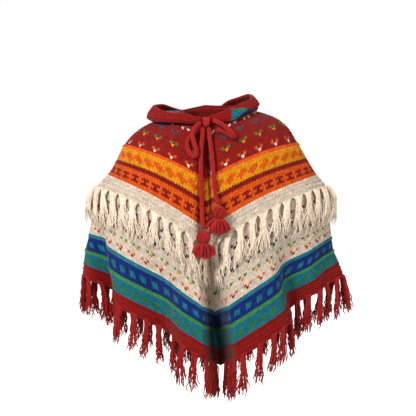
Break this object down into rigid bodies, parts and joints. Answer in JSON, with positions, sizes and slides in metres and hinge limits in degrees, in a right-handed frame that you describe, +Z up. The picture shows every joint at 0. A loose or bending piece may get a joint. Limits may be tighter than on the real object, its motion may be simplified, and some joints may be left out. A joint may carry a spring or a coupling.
{
  "type": "wool poncho",
  "caption": "Hooded two-tier hand-knitted wool poncho, worn and hollow, open at neck and hem, with fringed borders, motif bands and a tasselled drawstring bow.",
  "frame": {"origin": "middle of the base of the neck, at shoulder height, where a wearer's shoulders hold the garment up", "axes": "+Z up, the front faces -Y, +X to the viewer's right when the front is looked at"},
  "size_m": [0.7077, 0.3963, 0.8054],
  "materials": {
    "scarlet_knit": "bulky hand-knitted wool, matt with a soft nap",
    "cream_knit": "bulky hand-knitted wool, matt with a soft nap",
    "teal_knit": "bulky hand-knitted wool, matt with a soft nap",
    "cream_yarn": "loose wool yarn, soft and matt",
    "scarlet_yarn": "loose wool yarn, soft and matt",
    "scarlet_cord": "crocheted wool cord, matt"
  },
  "bodies": {
    "root": {"yoke_front": "scarlet_knit", "yoke_back": "scarlet_knit", "skirt_front": "cream_knit", "skirt_back": "cream_knit", "fringe_upper_front": "cream_yarn", "fringe_upper_back": "cream_yarn", "fringe_lower_front": "scarlet_yarn", "fringe_lower_back": "scarlet_yarn", "hood": "teal_knit", "hood_rim": "scarlet_knit", "knot": "scarlet_cord", "cord_loop_left": "scarlet_cord", "cord_loop_right": "scarlet_cord", "cord_end_left": "scarlet_cord", "cord_end_right": "scarlet_cord", "tassel_head_left": "scarlet_yarn", "tassel_head_right": "scarlet_yarn", "tassel_skirt_left": "scarlet_yarn", "tassel_skirt_right": "scarlet_yarn"}
  },
  "joints": []
}
